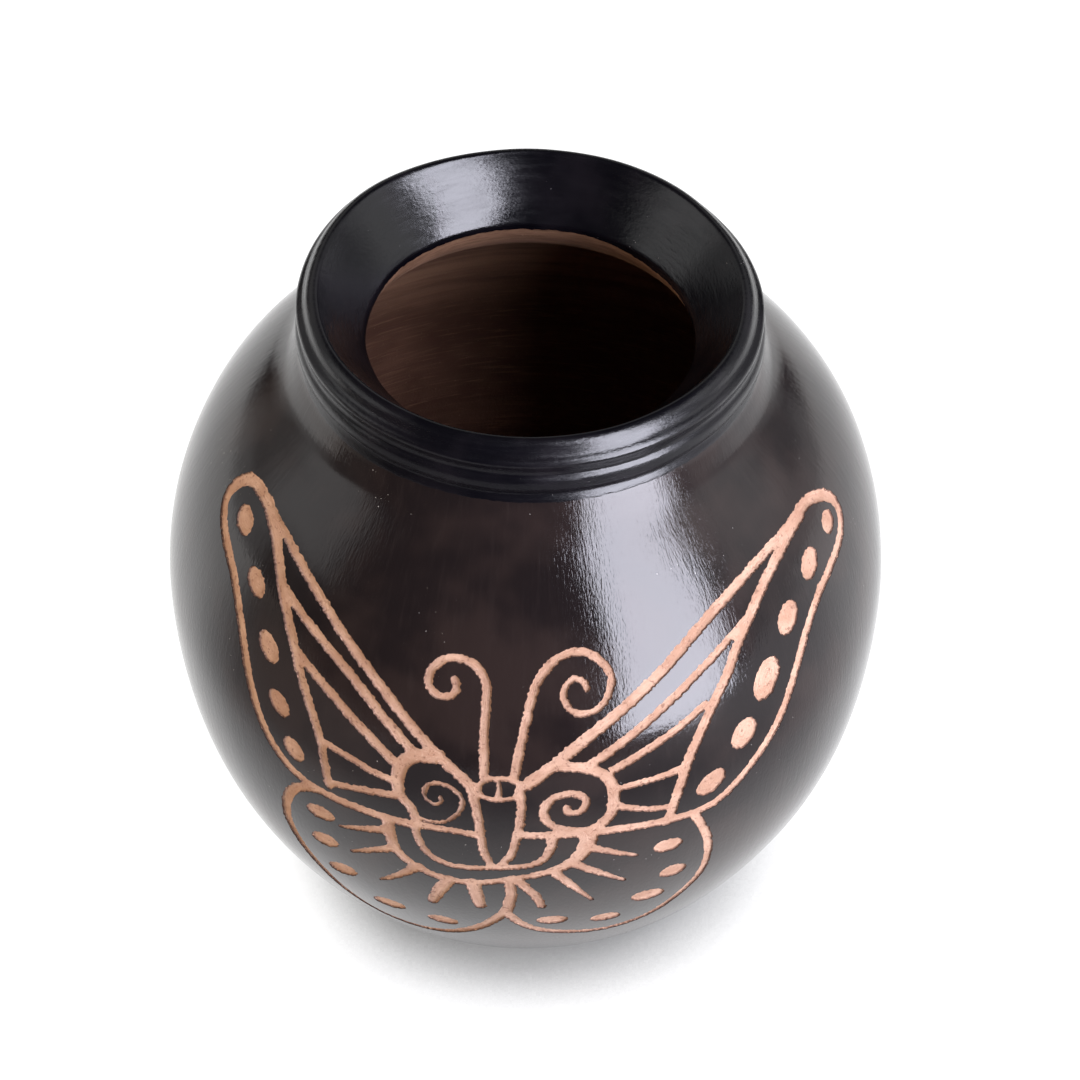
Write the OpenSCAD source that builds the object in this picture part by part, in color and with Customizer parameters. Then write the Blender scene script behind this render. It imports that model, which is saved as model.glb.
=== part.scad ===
// Round black-slipped clay pot with a short flared neck and a butterfly cut through the slip.
// Millimetres, +Z up. The origin is the centre of the flat foot.
// The wall is a stack of clay pieces luted together: a foot slab, two egg-shaped bowls, a neck
// ring, a collar coil and a lip coil. Two coats of dark slip cover them. The butterflies are
// grooves cut right through the body coat, so that the clay below shows as their lines.

/* [Body] */
// Widest outside diameter of the pot
body_d = 132; // [126:1:138]
// Diameter of the outside curve where it meets the ground
foot_d = 56; // [50:1:62]
// Half height of the egg below its widest level, as if it ran on to a point
bowl_rise = 78.5; // [76:0.5:82]
// Half height of the egg above its widest level
dome_rise = 64.5; // [63:0.5:66]
// Thickness of the clay wall
wall_t = 4.5; // [3.5:0.5:5]
// Thickness of the foot slab
foot_h = 6; // [5:0.5:8]

/* [Neck] */
// Outside diameter of the neck, between its rounded bands
neck_d = 82.4; // [81:0.2:84]
// Outside diameter where the neck starts to curve out of the dome
join_d = 92; // [90:0.5:95]
// Height of the neck's straight part above the widest level
neck_rise = 54.4; // [54:0.1:55]
// Height of the collar band
collar_h = 4.2; // [3.5:0.1:4.6]
// How far the collar band stands out of the neck
collar_bulge = 0.8; // [0.4:0.1:1.2]
// Outside diameter of the lip's lower ridge
ridge_d = 83.4; // [82:0.2:85]
// Diameter of the crest of the lip
crest_d = 77.6; // [76:0.2:79]
// Height of the crest above the widest level
crest_rise = 66.8; // [66:0.1:68]
// Diameter of the throat, the narrowest part of the mouth
throat_d = 59; // [57:0.5:61]

/* [Slip] */
// Thickness of the dark slip
slip_t = 0.5; // [0.4:0.1:0.7]
// Height above the ground at which the body coat starts
slip_start = 1.5; // [1:0.5:4]

/* [Butterfly] */
// Turn of the front butterfly's axis about the pot, to the viewer's left if negative
motif_turn = -4; // [-10:1:10]
// Scale of every line's width
line_scale = 1; // [0.8:0.05:1.1]
// Size of the back butterfly, as a share of the front one's
back_size = 0.74; // [0.6:0.02:0.8]

/* [Hidden] */
$fn = 96;

body_r = body_d / 2;
foot_r = foot_d / 2;
neck_r = neck_d / 2;
crest_r = crest_d / 2;
throat_r = throat_d / 2;
inner = slip_t + wall_t;
belly_z = bowl_rise * sqrt(1 - pow(foot_r / body_r, 2));

arc_step = 3;          // degrees between points along the egg
curve_steps = 6;       // steps along each short curve of the neck

foot_edge = 0.8;       // rounding of the foot's rim
rebate = 2;            // depth of the seat that holds the collar coil
collar_gap = 1.8;      // straight neck below the collar
lip_gap = 0.7;         // straight neck between the collar and the lip
ridge_gap = 2;         // height of the lip's ridge above the bottom of the lip
round_r = 1.1;         // radius of the lip's ridge and crest
ridge_turn = 45;       // half of the angle that the ridge is rounded through
crest_turn = [40, 130]; // angles between which the crest is rounded
crest_in = 0.2;        // the crest's rounding is centred this far inside the crest
throat_drop = 10.4;    // depth of the throat below the crest
seat_at = 0.4;         // share of the funnel that belongs to the lip coil
coat_end_drop = 2.2;   // the neck coat stops this far below the start of the throat

wing_view = 38;        // turn of the two sides from which the wings are cut
cutter_near = 4;       // the cutting prisms start this far outside the belly
cutter_far = 0.45;     // and end at this share of the belly's radius
cap_share = 0.46;      // radius of a stroke's round end, as a share of its width
closing = 0.2;         // gaps in the engraving under twice this are cut through

neck_base_z = belly_z + neck_rise;
collar_z = neck_base_z + collar_gap;
lip_z = collar_z + collar_h + lip_gap;
ridge_z = lip_z + ridge_gap;
crest_z = belly_z + crest_rise;
crest_mid = [crest_r - crest_in, crest_z - round_r];
throat_z = crest_z - throat_drop;
join_lat = acos(join_d / body_d);

// ---- Curves, all as [radius, height] lists ----

function reversed(list) = [for (i = [len(list) - 1 : -1 : 0]) list[i]];
function half_height(lat) = lat >= 0 ? dome_rise : bowl_rise;

// A point of the egg at a latitude, on a surface that lies inset mm inside the outer one
function egg_point(inset, lat) =
    [(body_r - inset) * cos(lat), belly_z + (half_height(lat) - inset) * sin(lat)];

// Latitude of the egg at a height below the widest level, and at a radius above it
function lat_at_height(inset, z) = asin((z - belly_z) / (bowl_rise - inset));
function lat_at_radius(inset, r) = acos(r / (body_r - inset));

function egg_curve(inset, from, to) =
    let (n = ceil(abs(to - from) / arc_step))
    [for (i = [0 : n]) egg_point(inset, from + (to - from) * i / n)];

function bezier(a, b, c, n, start = 0, end = 1) =
    [for (i = [0 : n]) let (t = start + (end - start) * i / n)
        pow(1 - t, 2) * a + 2 * t * (1 - t) * b + t * t * c];

function arc(centre, r, from, to, n) =
    [for (i = [0 : n]) let (a = from + (to - from) * i / n) centre + r * [cos(a), sin(a)]];

// The hollow curve that leads from the dome into the neck
function neck_fillet(inset) =
    let (
        a = egg_point(inset, join_lat),
        c = [neck_r - inset, neck_base_z],
        slope = (dome_rise - inset) * cos(join_lat) / ((body_r - inset) * sin(join_lat)),
        b = [c[0], a[1] + (a[0] - c[0]) * slope]
    )
    bezier(a, b, c, curve_steps);

// The outer face of the collar band
function collar_face(inset) =
    let (
        r = (pow(collar_h, 2) / 4 + pow(collar_bulge, 2)) / (2 * collar_bulge),
        half = asin(collar_h / 2 / r),
        centre = [neck_r + collar_bulge - r, collar_z + collar_h / 2]
    )
    arc(centre, r - inset, -half, half, curve_steps);

// The lip's ridge and crest
function lip_face(inset) =
    concat(
        arc([ridge_d / 2 - round_r, ridge_z], round_r - inset, -ridge_turn, ridge_turn,
            curve_steps),
        arc(crest_mid, round_r - inset, crest_turn[0], crest_turn[1], curve_steps)
    );

// The funnel from the crest down to the throat, or the part of it from start to end
function funnel(inset, start, end) =
    let (
        a = crest_mid + (round_r - inset) * [cos(crest_turn[1]), sin(crest_turn[1])],
        c = [throat_r + inset, throat_z],
        b = [c[0], a[1] - (a[0] - c[0]) * tan(crest_turn[1] - 90)]
    )
    bezier(a, b, c, curve_steps, start, end);

// ---- Clay pieces ----

module turned(outline) rotate_extrude() polygon(outline);

module foot_slab() color("#b5795a") {
    rim_r = egg_point(slip_t, lat_at_height(slip_t, 0))[0];
    turned(concat(
        [[0, 0], [rim_r - foot_edge / 2, 0]],
        egg_curve(slip_t, lat_at_height(slip_t, foot_edge), lat_at_height(slip_t, foot_h)),
        [[0, foot_h]]));
}

module lower_bowl() color("#b5795a")
    turned(concat(
        egg_curve(slip_t, lat_at_height(slip_t, foot_h), 0),
        reversed(egg_curve(inner, lat_at_height(inner, foot_h), 0))));

module upper_bowl() color("#b0745a")
    turned(concat(
        egg_curve(slip_t, 0, join_lat),
        egg_curve(slip_t, join_lat, lat_at_radius(slip_t, throat_r + slip_t)),
        reversed(egg_curve(inner, 0, lat_at_radius(inner, throat_r + slip_t)))));

module neck_ring() color("#a86e52") {
    clay_r = neck_r - slip_t;
    turned(concat(
        reversed(egg_curve(slip_t, join_lat, lat_at_radius(slip_t, throat_r + slip_t))),
        neck_fillet(slip_t),
        [[clay_r, collar_z], [clay_r - rebate, collar_z],
         [clay_r - rebate, collar_z + collar_h], [clay_r, collar_z + collar_h],
         [clay_r, lip_z]],
        funnel(slip_t, seat_at, 1)));
}

module collar_coil() color("#b5795a")
    turned(concat(
        [[neck_r - slip_t - rebate, collar_z + collar_h],
         [neck_r - slip_t - rebate, collar_z], [neck_r - slip_t, collar_z]],
        collar_face(slip_t),
        [[neck_r - slip_t, collar_z + collar_h]]));

module lip_coil() color("#a86e52")
    turned(concat(
        [[neck_r - slip_t, lip_z]],
        lip_face(slip_t),
        funnel(slip_t, 0, seat_at)));

// ---- Butterfly, in degrees [to the viewer's right of its axis, latitude on the egg] ----
// A stroke is [width at its start, width at its end, points]. It is cut by a prism that
// points square at the pot from one of three sides, so that a wing's lines keep their width.

LEFT_WING = [
    // leading edge of the forewing, from its tip to the head
    [1.9, 2.3, [[-57.5, 38.2], [-47.5, 36.6], [-36.7, 32.6], [-27.5, 27.4], [-20, 22],
                [-12.8, 15.2], [-4, 7]]],
    // outer edge, round the tip and back under the wing
    [2.6, 2.2, [[-55.5, 38], [-62, 38.4], [-65.6, 36.5], [-66.8, 33], [-65.4, 30.5],
                [-61, 27.8], [-55.3, 24.9], [-49.8, 19], [-45.5, 11.2], [-41.8, 4.3],
                [-38, -0.2], [-33.6, -2.3], [-28, -3], [-13, -3]]],
    // inner edge of the spotted border
    [2.7, 1.9, [[-55.5, 38], [-49, 34.8], [-43.9, 29.8], [-38.8, 24], [-35.2, 18.3],
                [-31.8, 12.5], [-29.5, 7], [-28.2, -1]]],
    // veins
    [2.0, 2.2, [[-43.5, 30], [-36.3, 27.2], [-28.3, 23.7], [-21.7, 19.2], [-13.5, 11.8]]],
    [2.0, 2.3, [[-36.5, 21.5], [-31.2, 18.9], [-25.7, 15.7], [-20.6, 12.2], [-16, 8.5]]],
    [1.7, 1.8, [[-29.4, 8], [-24.3, 7.1], [-20.5, 6], [-16.5, 5.3]]],
    [1.7, 2.0, [[-28.5, -0.6], [-24.2, 0.7], [-16, 2.4]]],
    // ring round the eye of the wing
    [3.4, 1.8, [[-10, 12.2], [-13.5, 11.5], [-15.7, 9], [-16.2, 5.5], [-15.7, 2.5],
                [-14, 0.5], [-13, -3]]],
    // edge of the hindwing
    [2.2, 2.2, [[-31, -3], [-35, -5], [-38, -10], [-38.5, -15], [-37, -20], [-34, -25.5],
                [-30.5, -30.5], [-25, -34], [-16, -34.5], [-9, -31.8], [-3.5, -27],
                [0.5, -21.5]]],
    // rays of the hindwing
    [0.8, 2.4, [[-27, -8.7], [-18, -5.5]]],
    [0.8, 2.4, [[-25.5, -13.7], [-17, -9]]],
    [0.8, 2.6, [[-21, -18.7], [-17, -15.5], [-13.5, -12]]]
];

RIGHT_WING = [
    [2.6, 1.8, [[4, 8], [11, 14.3], [17.5, 19.2], [30, 27.1], [39, 31.3], [50, 34],
                [60, 34.8], [67, 34.6]]],
    [2.4, 2.1, [[62, 34.5], [67, 35], [71, 34.4], [74.6, 32.4], [76.5, 29.5], [75.3, 26.5],
                [71, 24.3], [62, 22], [56, 18], [51.3, 12.5], [47.3, 7], [42.2, 1.5],
                [37, -2.5], [31.5, -4], [18, -3], [3.5, -2.5]]],
    [2.4, 2.2, [[66.5, 34.5], [60, 33.7], [51.5, 31], [46.5, 28], [42, 24.7], [39, 21],
                [35, 16.5], [32, 12], [29.5, 7], [26.5, -4]]],
    [1.6, 2.0, [[47, 28], [39.8, 25.7], [31.7, 22.1], [23.7, 17.5], [14, 11.3]]],
    [1.7, 1.9, [[33.5, 17], [28, 14.4], [23.1, 12.2], [17, 9.4]]],
    [1.8, 1.5, [[29.3, 6.6], [24.9, 6.1], [17, 5.6]]],
    [1.4, 1.8, [[26.5, -1], [22, 0], [17, 2.5]]],
    [2.2, 2.4, [[8.5, 11.6], [12.5, 11], [15.6, 9.4], [17.2, 7], [17.6, 3.5], [17.2, 0.5],
                [15.5, -1.5], [13, -2.6]]],
    [1.8, 2.2, [[31, -4], [33.5, -9], [35, -14.5], [34.5, -20.5], [30.5, -26], [26, -29.7],
                [19, -31.3], [12.5, -30.3], [6.5, -28.3], [3, -25.5], [0.5, -21.5]]],
    [1.0, 2.2, [[21.5, -9.5], [14, -6]]],
    [1.0, 2.2, [[20, -15], [12, -9.5]]],
    [0.8, 2.2, [[15, -19], [9, -11.5]]]
];

MIDDLE = [
    // antennae
    [1.8, 1.5, [[-2.5, 9], [-2.7, 17], [-2.5, 24], [-3, 27], [-5, 29.2], [-8, 29.8],
                [-10.5, 29], [-12.3, 26.8], [-12.2, 24.4], [-10.5, 23.2], [-8.6, 23.3],
                [-7.5, 24.6], [-8, 26.3]]],
    [1.8, 1.2, [[2, 9], [3.4, 17], [4.4, 22], [5.5, 26], [8, 29.5], [11, 31], [14, 31],
                [16.8, 29.2], [18.2, 26.5], [17.6, 23.6], [15.5, 21.3], [13, 20.7],
                [11, 21.8], [10.1, 24], [10.6, 26], [12.2, 26.9], [13.8, 26],
                [14, 24.8]]],
    // spirals in the eyes of the wings
    [1.1, 0.9, [[-13, -1.2], [-10.7, -1.6], [-8, -0.7], [-6.3, 1.5], [-5.8, 3.8],
                [-6.7, 5.8], [-8.5, 6.9], [-10.3, 6.9], [-11.6, 5.8], [-11.9, 4.2],
                [-11.1, 2.7], [-10, 2.3], [-9.2, 3.2], [-9.3, 4.3]]],
    [2.0, 1.5, [[13.5, -2.4], [10.2, -1.8], [7.7, -0.5], [6.6, 2], [7.3, 4.4], [9.2, 5.7],
                [11.5, 5.9], [13, 4.6], [13.1, 2.9], [11.9, 1.7], [10.4, 1.9],
                [10.1, 3.2]]],
    // sides of the body
    [2.0, 1.6, [[-5, 8], [-4, 4.5], [-3.5, 1], [-3, -3], [-2.7, -6], [-1.5, -9.5]]],
    [1.8, 1.6, [[3, 7.5], [3.2, 4], [3, 0], [2.5, -3], [1.5, -7], [-0.5, -9.5]]],
    // head, with a bar between its two eyes
    [1.2, 1.2, [[-3.6, 7], [-2.6, 8.7], [-0.3, 9.4], [2.2, 9], [3.2, 7.3], [2, 5.5],
                [-0.3, 4.9], [-2.8, 5.4], [-3.6, 7]]],
    [0.8, 1.2, [[-0.6, 9.2], [-0.1, 7.4], [-0.4, 5]]],
    // large and small arc of the hindwings, left then right
    [2.6, 1.8, [[-18, -3], [-17.8, -6.5], [-17, -9.5], [-14.5, -11.8], [-11, -13.4],
                [-7.5, -14], [-3, -13.6], [1, -12.3]]],
    [1.6, 3.6, [[1, -12.3], [5.5, -11.2], [8.5, -10.2], [11, -8.8], [13, -6.5],
                [13.8, -3]]],
    [1.8, 1.6, [[-13.5, -3], [-13, -6], [-11.5, -8.6], [-9, -10], [-5.5, -10.3],
                [0, -9.6]]],
    [1.6, 2.2, [[0, -9.6], [4.3, -9], [6.5, -7.8], [7.8, -5.5], [8, -2.5]]],
    // tie across the hindwing, left of the body
    [1.8, 1.8, [[-18.5, -3.3], [-13.3, -2.9], [-8.5, -2.6], [-3.5, -2.9]]],
    // rays at the middle and the stem between them
    [2.2, 3.0, [[-12, -21], [-10.5, -17.5], [-8.5, -13.8]]],
    [2.4, 3.0, [[-3.7, -20.2], [-4.2, -17], [-4.7, -13.8]]],
    [1.6, 2.4, [[6.6, -19.8], [5.2, -16], [2, -12]]],
    [1.8, 2.6, [[1, -12.2], [1.6, -16.5], [0.5, -21.7]]]
];

// Spots: [centre, length, width, tilt of the length from upright]
LEFT_SPOTS = [
    [[-58.8, 33], 6, 4.8, -60], [[-49.4, 27], 6.3, 4.4, -58], [[-42.5, 19], 6.6, 4.6, -50],
    [[-38.4, 10.5], 6, 4.4, -50], [[-34.9, 3], 5.7, 4.6, -42], [[-30.5, -7.7], 6.8, 4, 78],
    [[-30.7, -14], 7, 4, 68], [[-28.7, -20.5], 7.6, 4.2, 60], [[-21, -26.4], 7.2, 4.2, 75],
    [[-11, -27.4], 6, 4.2, 88]
];
RIGHT_SPOTS = [
    [[71.6, 29.1], 4.6, 4.2, 40], [[62.3, 27.3], 6.3, 4.9, 55], [[53.1, 22.9], 6.7, 5.2, 45],
    [[45.7, 15.7], 8.6, 6, 36], [[40, 8.2], 6.8, 5.6, 35], [[33.8, 1], 6.8, 5.2, 52],
    [[27, -9.3], 6.2, 4, -80], [[28.7, -16.2], 5.8, 4.2, -75], [[25, -21.3], 7, 4.2, -75],
    [[18, -25.8], 6, 3.8, -80], [[8.5, -24.4], 6, 4.2, -88]
];

// Point, and unit normal, of the outer egg at [turn, latitude], seen square from [0, 0]
function on_egg(p) =
    let (q = egg_point(0, p[1])) [q[0] * sin(p[0]), q[1], q[0] * cos(p[0])];
function egg_normal(p) =
    let (n = [cos(p[1]) * sin(p[0]) / body_r, sin(p[1]) / half_height(p[1]),
              cos(p[1]) * cos(p[0]) / body_r])
    n / norm(n);

// Catmull-Rom curve through a stroke's points
function through(p, i, t) =
    let (a = p[max(i - 1, 0)], b = p[i], c = p[i + 1], d = p[min(i + 2, len(p) - 1)])
    0.5 * (2 * b + t * (c - a) + t * t * (2 * a - 5 * b + 4 * c - d)
        + t * t * t * (3 * b - 3 * c + d - a));
function smooth(p) =
    len(p) < 3 ? p :
    concat([for (i = [0 : len(p) - 2], s = [0 : 1]) through(p, i, s / 2)], [p[len(p) - 1]]);

// A stroke as a flat ribbon of short quadrilaterals, seen from turn view
module ribbon(widths, points, view, size) {
    path = [for (q = points) [q[0] - view, q[1]] * size];
    spots = [for (q = path) on_egg(q)];
    last = len(path) - 1;
    edges = [for (i = [0 : last])
        let (
            along = spots[min(i + 1, last)] - spots[max(i - 1, 0)],
            across = cross(egg_normal(path[i]), along),
            w = line_scale * sqrt(size) * (widths[0] + (widths[1] - widths[0]) * i / last),
            step = across / norm(across) * w / 2
        )
        [spots[i] + step, spots[i] - step]];
    for (i = [0 : last - 1])
        polygon([for (q = [edges[i][0], edges[i + 1][0], edges[i + 1][1], edges[i][1]])
            [q[0], q[1]]]);
    for (i = [0, last])
        translate([spots[i][0], spots[i][1]])
            circle(r = norm(edges[i][0] - edges[i][1]) * cap_share, $fn = 12);
}

// An oval spot lying on the egg, seen from turn view
module spot(s, view, size) {
    p = [s[0][0] - view, s[0][1]] * size;
    n = egg_normal(p);
    up = cross(n, [cos(p[0]), 0, -sin(p[0])]);
    side = cross(up, n);
    long = up * cos(s[3]) + side * sin(s[3]);
    short = cross(n, long);
    polygon([for (a = [0 : 30 : 330])
        let (q = on_egg(p) + size / 2 * (long * s[1] * cos(a) + short * s[2] * sin(a)))
        [q[0], q[1]]]);
}

// All the lines that are cut from one side, as a prism pointing at the pot from turn view
module cut_from(view, size, strokes, spots) {
    near = body_r + cutter_near;
    far = body_r * cutter_far;
    rotate([0, 0, view * size])
        translate([0, -far, 0])
            rotate([90, 0, 0])
                linear_extrude(near - far)
                    offset(delta = -closing) offset(delta = closing) {
                        for (s = strokes) ribbon([s[0], s[1]], smooth(s[2]), view, size);
                        for (s = spots) spot(s, view, size);
                    }
}

// A whole butterfly at a size, 1 being the front one
module butterfly(size) {
    cut_from(-wing_view, size, LEFT_WING, LEFT_SPOTS);
    cut_from(0, size, MIDDLE, []);
    cut_from(wing_view, size, RIGHT_WING, RIGHT_SPOTS);
}

// ---- Slip coats ----

module body_slip() color("#2c2826") difference() {
    turned(concat(
        egg_curve(0, lat_at_height(0, slip_start), join_lat),
        neck_fillet(0),
        reversed(neck_fillet(slip_t)),
        reversed(egg_curve(slip_t, lat_at_height(slip_t, slip_start), join_lat))));
    rotate([0, 0, motif_turn]) butterfly(1);
    rotate([0, 0, 180]) mirror([1, 0, 0]) butterfly(back_size);
}

function neck_coat_face(inset) =
    concat(
        [[neck_r - inset, neck_base_z], [neck_r - inset, collar_z]],
        collar_face(inset),
        [[neck_r - inset, collar_z + collar_h], [neck_r - inset, lip_z]],
        lip_face(inset),
        funnel(inset, 0, 1),
        [[throat_r + inset, throat_z - coat_end_drop]]);

module neck_slip() color("#1f2024")
    turned(concat(neck_coat_face(0), reversed(neck_coat_face(slip_t))));

foot_slab();
lower_bowl();
upper_bowl();
neck_ring();
collar_coil();
lip_coil();
body_slip();
neck_slip();
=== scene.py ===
"""Looks for the black-slipped clay pot.

Lengths are in millimetres until a mesh is made, and in metres in the materials'
ramps and on the stage."""

import math

import bpy
import numpy as np
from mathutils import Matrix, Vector, geometry
from mathutils.kdtree import KDTree


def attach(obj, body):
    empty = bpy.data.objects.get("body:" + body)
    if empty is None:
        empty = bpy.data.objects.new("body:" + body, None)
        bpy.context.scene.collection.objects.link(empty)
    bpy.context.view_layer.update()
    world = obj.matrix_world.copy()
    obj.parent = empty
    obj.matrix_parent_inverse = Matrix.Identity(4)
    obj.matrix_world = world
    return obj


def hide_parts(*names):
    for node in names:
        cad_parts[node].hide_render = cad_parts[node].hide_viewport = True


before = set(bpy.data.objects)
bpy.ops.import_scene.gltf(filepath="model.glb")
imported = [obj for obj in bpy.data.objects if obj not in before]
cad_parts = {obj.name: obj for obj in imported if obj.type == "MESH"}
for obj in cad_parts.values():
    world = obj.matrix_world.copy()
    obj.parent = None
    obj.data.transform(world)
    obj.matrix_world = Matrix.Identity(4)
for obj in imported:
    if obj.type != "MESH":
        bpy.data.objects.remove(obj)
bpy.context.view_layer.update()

MM = 0.001
rng = np.random.default_rng(7)

# ---- Sizes, as in the CAD model ----

BELLY_R = 66.0
BELLY_Z = 71.09
BOWL_RISE = 78.5  # half height of the egg below the belly
DOME_RISE = 64.5  # and above it
CAD_COAT_T = 0.5
INNER = 5.0  # slip and clay together
NECK_R = 41.2
NECK_BASE_Z = BELLY_Z + 54.4
JOIN_R = 46.0  # the dome ends here, and the curve into the neck begins
SLIP_START_Z = 1.5
FOOT_Z = 6.0  # top of the foot slab

# ---- Sizes of the coats ----

COAT_T = 0.12  # a real coat of slip is thinner than the CAD's
COAT_LAP = 0.05  # the neck coat lies this far outside the body coat that it laps over
BODY_TOP_Z = 126.6  # the body coat runs on a little way under the neck coat
LAP_Z = 124.95  # middle of the neck coat's lower edge
COAT_END_Z = 126.35  # middle of the neck coat's edge in the throat

# ---- Sizes of the grooves and of the mesh round them ----

GROOVE_DEEP = 0.34  # below the face of the clay
GROOVE_WALL = 0.24  # how far a groove's wall reaches in from its edge
JAGGED = 0.09  # how far a groove's edge wanders
CRUMB = 1.0  # square mm: smaller islands of slip than this are left out
GRID = 1.6  # spacing of the mesh on plain slip
OUTLINE_STEP = 0.28  # spacing of points along a groove's edge
GROOVE_GRID = 0.36  # spacing of the mesh in a groove
GROOVE_JITTER = 0.06  # how far that mesh's points stray
PLAIN_CLEAR = 0.45  # distance of the plain mesh from every groove's edge
GROOVE_CLEAR = 0.27  # distance of a groove's mesh from its edge
WALL_ROW = 0.14  # distance of one more row of points, on the groove's wall
WALL_CLEAR = 0.1  # that row keeps this far from other edges
SEAM_CLEAR = 0.2  # distance of a groove's mesh from the joint at the belly
WALL_SEAM_CLEAR = 0.05  # and of the row on its wall
FACE_CLEAR = 0.15  # the CAD coat's face lies no further in than this
SHARP = math.radians(48)  # edges that bend more than this look sharp
EGG_POINTS = 700
FILLET_POINTS = 60
COLUMNS = 120  # of the plain mesh, in each half of the pot
RING_COLUMNS = 240
INNER_ROWS = 50  # in a radian of the inside
NECK_COLUMNS = 420
NECK_STEP = 0.22  # spacing of the neck coat's rings
FAR_FROM_EDGE = 9.0  # edge_gap of clay that was never scraped

# ---- Sizes of the neck, collar and lip ----

COLLAR = (127.29, 131.49)
COLLAR_BULGE = 0.8
FUNNEL_SLOPE = 1.20
THROAT_R = 29.5
THROAT_Z = 127.49
LIP_Z = COLLAR[1] + 0.7  # the lip coil starts here
SEAT_R = 34.5  # and ends here in the funnel
CLAY_R = NECK_R - CAD_COAT_T
REBATE_R = CLAY_R - 2  # depth of the collar's seat
COAT_THIN_Z = 131.0  # in the funnel, the coat grows thinner below this
CLAY_MOUTH_R = THROAT_R + COAT_T
INNER_EGG_TOP_Z = 114.5  # here the inside leaves the egg and turns up to the throat
INNER_KNEE = (CLAY_MOUTH_R + 0.9, 119.4)
CLAY_OVERLAP = 0.6  # keeps the bowl's mouth clear of the coat in the throat
NECK_CLAY_END_Z = 128.4  # where the neck ring's clay ends in the throat
LIP = [  # the lip's outside, from the groove above the collar to the top of the crest
    (41.20, 131.9),
    (41.26, 132.6),
    (41.45, 133.3),
    (41.66, 133.9),
    (41.66, 134.4),
    (41.35, 134.85),
    (40.80, 135.17),
    (40.35, 135.50),
    (40.12, 135.95),
    (39.97, 136.42),
    (39.72, 136.88),
    (39.30, 137.30),
    (38.80, 137.62),
    (38.30, 137.83),
    (37.75, 137.70),
]

# ---- The hand's unevenness ----

BODY_WAVES = [  # waves round the pot, steepness, size, phase
    (2, 0.5, 0.16, 0.4),
    (3, 1.0, 0.12, 2.1),
    (5, 1.5, 0.06, 4.4),
    (8, 2.0, 0.035, 1.3),
    (13, 1.0, 0.018, 5.2),
    (21, 2.5, 0.009, 0.9),
    (34, 1.5, 0.005, 3.0),
]
NECK_WAVES = [
    (2, 0.0, 0.14, 1.0),
    (3, 1.0, 0.10, 3.7),
    (5, 2.0, 0.07, 0.2),
    (9, 3.0, 0.04, 2.6),
    (16, 4.0, 0.02, 5.5),
]
# The painted edges of the neck coat: waves round the pot, size, phase
LOWER_EDGE = [(1, 0.15, 2.0), (2, 0.22, 0.4), (3, 0.12, 1.9), (7, 0.06, 3)]
THROAT_EDGE = [(2, 0.15, 1.0), (5, 0.10, 0.3), (9, 0.06, 2)]
BRUSH_HAIRS = 0.03  # size of the smallest waves of a painted edge
BODY_Z = (3, 22)  # the body's unevenness grows from the foot between these heights,
NECK_Z = (112, 129)  # gives way to the neck's between these,
RIM_Z = (129, 136)  # and the rim's comes in between these
FUNNEL_Z = (128.2, 131)
SWELLINGS = [(0.5, 106, 13), (-0.35, 60, 18)]  # shoulder, bowl: size, height, width
TAPER = [(0.35, 122.6, 1.7), (-0.5, 127.0, 1.3)]  # of the neck, under the collar
TAPER_R = (34, 39)  # only the neck's outside tapers
NECK_SHRINK = 0.2
NECK_SHIFT = 0.6  # to the right
NECK_TILT = 0.45
RIM_BULGE, RIM_BULGE_AT = 0.9, math.radians(-130)
RIM_WAVE = 0.12
COLLAR_DENT, COLLAR_DENT_AT = 0.55, math.radians(22)
FUNNEL_BULGE, FUNNEL_BULGE_AT = 0.9, math.pi - 0.1

# ---- The stage ----

FLOOR_GLOW = 1.32
SOFTBOX = {
    "size": (0.44, 1.37),
    "reach": 0.7,
    "turn": 44.3,
    "height": 0.545,
    "lean": 3.5,
    "power": 28.5,
    "colour": (0.87, 0.875, 1.0),
}
FILL = {
    "size": (0.9, 0.6),
    "reach": 1.2,
    "turn": -72,
    "height": 0.32,
    "lean": 0,
    "power": 19,
    "colour": (1.0, 0.87, 0.72),
}
ROOM_DARK = 0.03
ROOM_PALE = 0.60
CAMERA_RISE = math.radians(44.6)
CAMERA_REACH = 0.924
CAMERA_LENS = 166.4
CAMERA_SHIFT = (0.0125, 0.0185)


# ---- Curves in a plane ----


def run_along(points):
    """Distance of each point from the first, along the curve."""
    return np.concatenate([[0], np.cumsum(np.hypot(*np.diff(points, axis=0).T))])


def at_runs(points, run, at):
    """The curve's points at the distances `at`."""
    return np.stack([np.interp(at, run, points[:, k]) for k in (0, 1)], 1)


def bend(a, b, c, n):
    """A curve from a to c that heads for b first."""
    t = np.linspace(0, 1, n)[:, None]
    a, b, c = map(np.asarray, (a, b, c))
    return (1 - t) ** 2 * a + 2 * t * (1 - t) * b + t * t * c


def resample(points, step):
    run = run_along(points)
    return at_runs(points, run, np.linspace(0, run[-1], int(round(run[-1] / step)) + 1))


def soften(points, times):
    for _ in range(times):
        points[1:-1] = 0.5 * points[1:-1] + 0.25 * (points[:-2] + points[2:])
    return points


def through(points, n):
    """A Catmull-Rom curve through points."""
    p = np.asarray(points, float)
    p = np.vstack([2 * p[0] - p[1], p, 2 * p[-1] - p[-2]])
    a, b, c, d = p[:-3, None], p[1:-2, None], p[2:-1, None], p[3:, None]
    t = np.linspace(0, 1, n, endpoint=False)[None, :, None]
    q = 2 * b + t * (c - a) + t * t * (2 * a - 5 * b + 4 * c - d)
    q = q + t**3 * (3 * b - 3 * c + d - a)
    return np.vstack([0.5 * q.reshape(-1, 2), p[-2]])


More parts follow.
